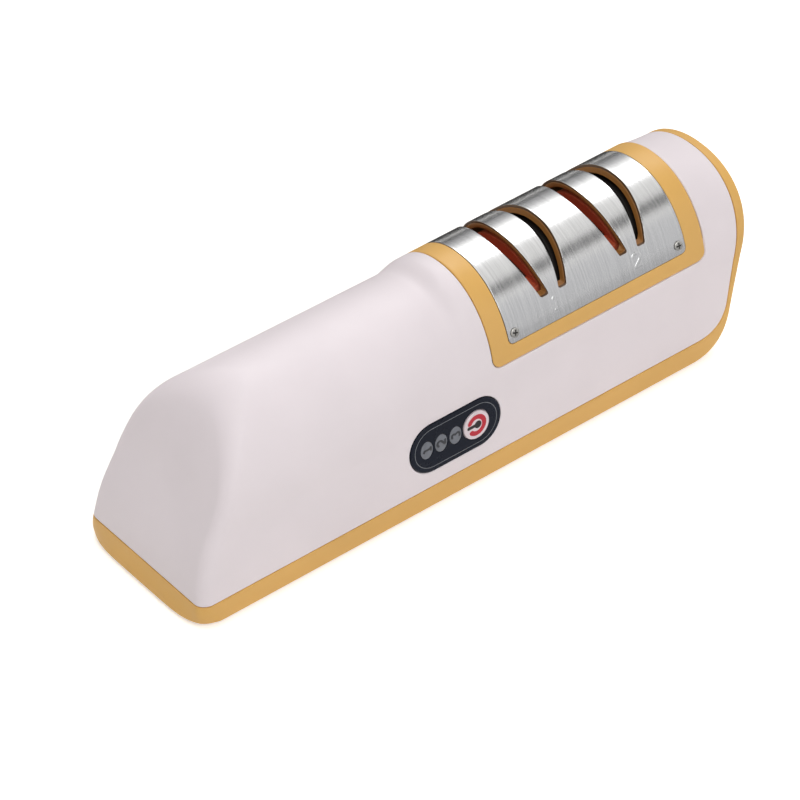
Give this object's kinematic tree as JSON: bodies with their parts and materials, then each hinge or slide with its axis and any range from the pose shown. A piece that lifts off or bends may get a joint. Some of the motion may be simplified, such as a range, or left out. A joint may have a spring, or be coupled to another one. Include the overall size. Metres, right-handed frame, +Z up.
{
  "type": "electric knife sharpener",
  "caption": "Long low electric knife sharpener with slotted grinding head under a curved steel plate, capsule control panel and coloured base.",
  "frame": {"origin": "on the floor plane of the rubber feet, under the middle of the bounding box", "axes": "+X along the body to the tall grinding end, -Y to the control panel, +Z up"},
  "size_m": [0.257, 0.0676, 0.0752],
  "materials": {
    "shell_white": "white satin-gloss moulding with a faint lilac tone",
    "gold_plastic": "warm gold-tan satin moulding",
    "plate_steel": "sheet steel brushed across the body",
    "screw_steel": "turned steel",
    "panel_dark": "dark glossy fascia",
    "button_white": "white button with a printed ring",
    "lens_grey": "translucent grey lens",
    "guide_rust": "reddish-brown guide moulding",
    "abrasive": "grit-coated grinding disc",
    "spindle_steel": "ground steel",
    "bracket_dark": "dark glass-filled moulding",
    "bush_brass": "sintered bush or contact strip",
    "motor_steel": "plated motor can",
    "rubber_black": "matte black rubber",
    "board_green": "coated circuit board",
    "cell_wrap": "cell in a plastic sleeve"
  },
  "bodies": {
    "housing": {"main_shell": "shell_white", "base_tray": "gold_plastic", "slot_frame": "gold_plastic", "slot_plate": "plate_steel", "plate_screw_1": "screw_steel", "plate_screw_2": "screw_steel", "plate_screw_3": "screw_steel", "plate_screw_4": "screw_steel", "fine_guide": "guide_rust", "coarse_guide": "guide_rust", "bearing_bracket_1": "bracket_dark", "bearing_bracket_2": "bracket_dark", "spindle_bush_1": "bush_brass", "spindle_bush_2": "bush_brass", "bracket_screw_1": "screw_steel", "bracket_screw_2": "screw_steel", "motor_can": "motor_steel", "motor_cap": "bracket_dark", "motor_cradle": "bracket_dark", "motor_strap": "motor_steel", "control_panel": "panel_dark", "indicator_lens_1": "lens_grey", "indicator_lens_2": "lens_grey", "indicator_lens_3": "lens_grey", "panel_board": "board_green", "tact_switch": "bracket_dark", "panel_bracket": "bracket_dark", "battery_cell_1": "cell_wrap", "battery_cell_2": "cell_wrap", "battery_holder": "bracket_dark", "battery_strip_1": "bush_brass", "battery_strip_2": "bush_brass", "charge_board": "board_green", "charge_socket": "motor_steel", "charge_cable": "rubber_black", "motor_cable": "rubber_black", "rubber_foot_1": "rubber_black", "rubber_foot_2": "rubber_black", "rubber_foot_3": "rubber_black", "rubber_foot_4": "rubber_black", "base_screw_1": "screw_steel", "base_screw_2": "screw_steel", "base_screw_3": "screw_steel", "base_screw_4": "screw_steel"},
    "rotor": {"spindle": "spindle_steel", "spindle_clip_1": "spindle_steel", "spindle_clip_2": "spindle_steel", "motor_shaft": "spindle_steel", "motor_coupling": "spindle_steel", "spindle_coupling": "spindle_steel", "coupling_spider": "rubber_black", "fine_wheel_spring": "screw_steel", "coarse_wheel_spring": "screw_steel"},
    "fine_wheel_left_body": {"fine_wheel_left": "abrasive"},
    "fine_wheel_right_body": {"fine_wheel_right": "abrasive"},
    "coarse_wheel_left_body": {"coarse_wheel_left": "abrasive"},
    "coarse_wheel_right_body": {"coarse_wheel_right": "abrasive"},
    "button": {"power_button": "button_white", "switch_plunger": "rubber_black"}
  },
  "joints": [
    {"name": "spindle_spin", "type": "hinge", "parent": "housing", "child": "rotor", "pos_m": [0.02023, 0, 0.0392], "axis": [1, 0, 0], "continuous": true},
    {"name": "fine_wheel_left_slide", "type": "slide", "parent": "rotor", "child": "fine_wheel_left_body", "axis": [1, 0, 0], "range_m": [0, 0.0005], "stiffness_N_per_m": 1500, "springref_m": -0.001},
    {"name": "fine_wheel_right_slide", "type": "slide", "parent": "rotor", "child": "fine_wheel_right_body", "axis": [-1, 0, 0], "range_m": [0, 0.0005], "stiffness_N_per_m": 1500, "springref_m": -0.001},
    {"name": "coarse_wheel_left_slide", "type": "slide", "parent": "rotor", "child": "coarse_wheel_left_body", "axis": [1, 0, 0], "range_m": [0, 0.0005], "stiffness_N_per_m": 1500, "springref_m": -0.001},
    {"name": "coarse_wheel_right_slide", "type": "slide", "parent": "rotor", "child": "coarse_wheel_right_body", "axis": [-1, 0, 0], "range_m": [0, 0.0005], "stiffness_N_per_m": 1500, "springref_m": -0.001},
    {"name": "power_button_press", "type": "slide", "parent": "housing", "child": "button", "axis": [0, 0.9947, -0.1025], "range_m": [0, 0.0006], "stiffness_N_per_m": 600, "springref_m": -0.001}
  ]
}
